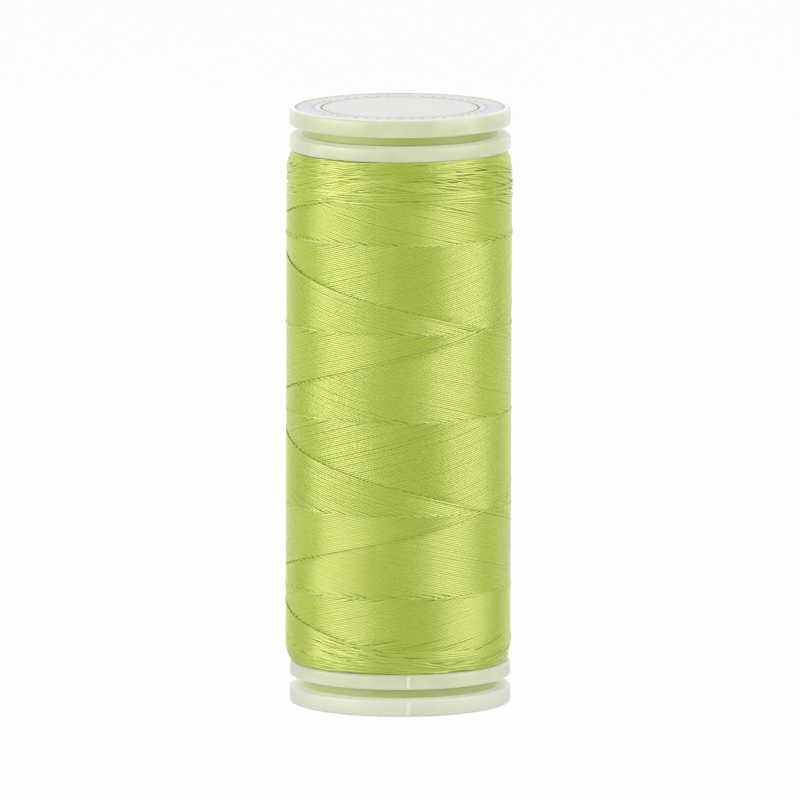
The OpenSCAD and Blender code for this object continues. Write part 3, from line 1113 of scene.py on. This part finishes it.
@dataclass
class Spool:
    """The whole spool: barrel, flanges, caps, labels and thread."""

    lower_ridge_angle: float = -85.6
    upper_ridge_angle: float = 182.0
    base_hole_r: float = 5 * MM

    def build(self) -> None:
        """Builds each sub-assembly in order."""
        plastic = FrostedPlastic().material()
        paper = LabelPaper().material()
        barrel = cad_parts["barrel"]
        barrel.data.materials.clear()
        barrel.data.materials.append(plastic)
        LOG.info("barrel keeps its CAD shape")
        base_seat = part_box("lower_flange")[0].z
        top_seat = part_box("upper_flange")[1].z
        Flange("lower_flange", self.lower_ridge_angle).build(plastic)
        Flange("upper_flange", self.upper_ridge_angle).build(plastic)
        SnapCap("base_cap", Body.BASE_CAP, base_seat, -1, self.lower_ridge_angle).build(plastic)
        SnapCap("top_cap", Body.TOP_CAP, top_seat, 1, self.upper_ridge_angle).build(plastic)
        PaperLabel("base_label", Body.BASE_CAP, hole_r=self.base_hole_r).build(paper)
        PaperLabel("top_label", Body.TOP_CAP).build(paper)
        WoundThread().build(LustrousThread().material(), DeepThread().material())


@dataclass(frozen=True)
class Lamp:
    """A rectangular lamp that faces the spool.

    Attributes:
        azimuth: Degrees from the camera's side, positive to its right.
        elevation: Degrees above the level of the spool's middle.
        size: Width and height.
        roll: Degrees by which the lamp's top leans to the right.
    """

    name: str
    azimuth: float
    elevation: float
    size: Pair
    power: float
    roll: float = 0.0
    distance: float = 0.6


@dataclass
class Studio:
    """A white table and background, a leaned soft lamp at each side, a small fill, and one above behind."""

    camera_elevation: float = 8.2
    camera_distance: float = 3.0
    frame_height: float = 94.45 * MM
    aim_z: float = 35.87 * MM
    sensor: float = 36.0
    floor_size: float = 40.0
    clip: Pair = (0.1, 100.0)
    ambient: float = 0.57
    dark_front: float = 0.04
    sky_front: Pair = (0.3, 0.95)
    table_front: Pair = (0.65, 1.0)
    table_mirror: float = 0.35
    table_white: float = 0.9
    table_share: float = 0.95
    lamps: tuple[Lamp, ...] = (
        Lamp("left_softbox", -65, 2, (0.66, 0.5), 3.12, roll=13),
        Lamp("left_fill", -26, 4, (0.3, 0.3), 0.2),
        Lamp("right_softbox", 68, 18, (0.56, 0.74), 2.35, roll=11),
        Lamp("top_fill", 180, 68, (0.5, 0.5), 0.6),
    )

    def toward(self, azimuth: float, elevation: float) -> Vector:
        """Direction from the spool's middle, by its angles from the front and from the level."""
        a, e = math.radians(azimuth), math.radians(elevation)
        return Vector((math.sin(a) * math.cos(e), -math.cos(a) * math.cos(e), math.sin(e)))

    def spot(self, way: Vector, distance: float) -> Vector:
        """Place in a direction from the spool's middle."""
        return Vector((0, 0, self.aim_z)) + way * distance

    def place_camera(self) -> None:
        """Puts the camera in front of the spool, a little above it, with a long lens."""
        deselect_all()
        back = self.toward(0.0, self.camera_elevation)
        bpy.ops.object.camera_add(location=self.spot(back, self.camera_distance))
        camera = bpy.context.object
        camera.rotation_mode = "QUATERNION"
        camera.rotation_quaternion = (-back).to_track_quat("-Z", "Y")
        camera.data.sensor_width = self.sensor
        camera.data.lens = self.sensor * self.camera_distance / self.frame_height
        camera.data.clip_start, camera.data.clip_end = self.clip
        bpy.context.scene.camera = camera

    def place_lamp(self, lamp: Lamp) -> None:
        """Hangs a lamp."""
        way = self.toward(lamp.azimuth, lamp.elevation)
        deselect_all()
        bpy.ops.object.light_add(type="AREA", location=self.spot(way, lamp.distance))
        hung = bpy.context.object
        hung.name = lamp.name
        hung.rotation_mode = "QUATERNION"
        leaned = Quaternion((0, 0, 1), -math.radians(lamp.roll))
        hung.rotation_quaternion = way.to_track_quat("Z", "Y") @ leaned
        hung.data.shape = "RECTANGLE"
        hung.data.size, hung.data.size_y = lamp.size
        hung.data.energy = lamp.power

    def white_world(self) -> None:
        """A background that is white to the camera, white behind and dark in front to reflections."""
        world = bpy.data.worlds.new("white_studio")
        bpy.context.scene.world = world
        world.use_nodes = True
        world.node_tree.nodes.clear()
        recipe = Recipe(world.node_tree)
        path = recipe.add("LightPath")
        way = recipe.add("SeparateXYZ", {0: recipe.add("TexCoord").outputs["Generated"]})
        glossy = recipe.ramp(way.outputs[1], *self.sky_front, self.dark_front, 1.0)
        glossy = recipe.math("MULTIPLY", glossy, path.outputs["Is Glossy Ray"])
        seen = recipe.math("MAXIMUM", path.outputs["Is Camera Ray"], path.outputs["Is Transmission Ray"])
        seen = recipe.math("MAXIMUM", seen, glossy)
        even = recipe.math("MULTIPLY", path.outputs["Is Diffuse Ray"], self.ambient)
        strength = recipe.math("MAXIMUM", seen, even)
        sky = recipe.add("Background", {"Color": (1, 1, 1, 1), "Strength": strength})
        recipe.add("OutputWorld", {"Surface": sky.outputs[0]})

    def white_floor(self) -> None:
        """A table that keeps a faint shadow, and that reflections show whiter behind the spool."""
        deselect_all()
        bpy.ops.mesh.primitive_plane_add(size=self.floor_size, location=(0, 0, CAD_BOX[0].z))
        floor = bpy.context.object
        floor.name = "white_table"
        settle(floor)
        material, recipe = start_material("white_table")
        path = recipe.add("LightPath")
        camera = path.outputs["Is Camera Ray"]
        card = recipe.add("BsdfDiffuse", {"Color": (*[self.table_white] * 3, 1)})
        place = recipe.add("TexCoord").outputs["Object"]
        way = recipe.add("VectorMath", {0: place}, operation="NORMALIZE").outputs[0]
        behind = recipe.add("SeparateXYZ", {0: way}).outputs[1]
        mirror = recipe.ramp(behind, *self.table_front, self.table_mirror, 1.0)
        strength = recipe.math("MAXIMUM", camera, mirror)
        white = recipe.add("Emission", {"Color": (1, 1, 1, 1), "Strength": strength})
        glossy = path.outputs["Is Glossy Ray"]
        share = recipe.math("MULTIPLY_ADD", camera, self.table_share, glossy)
        mixed = recipe.add("MixShader", {0: share, 1: card.outputs[0], 2: white.outputs[0]})
        recipe.add("OutputMaterial", {"Surface": mixed.outputs[0]})
        floor.data.materials.append(material)
        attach(floor, Body.BASE_CAP.value)

    def build(self) -> None:
        """Sets up the camera, the table, the background and the lamps."""
        self.place_camera()
        self.white_world()
        self.white_floor()
        for lamp in self.lamps:
            self.place_lamp(lamp)
        bpy.context.scene.view_settings.view_transform = "Standard"


def main() -> None:
    """Builds the studio and the spool, and reports each piece."""
    logging.basicConfig(level=logging.INFO, format="%(name)s: %(message)s", force=True)
    Studio().build()
    Spool().build()
    deselect_all()


if __name__ == "__main__":
    main()
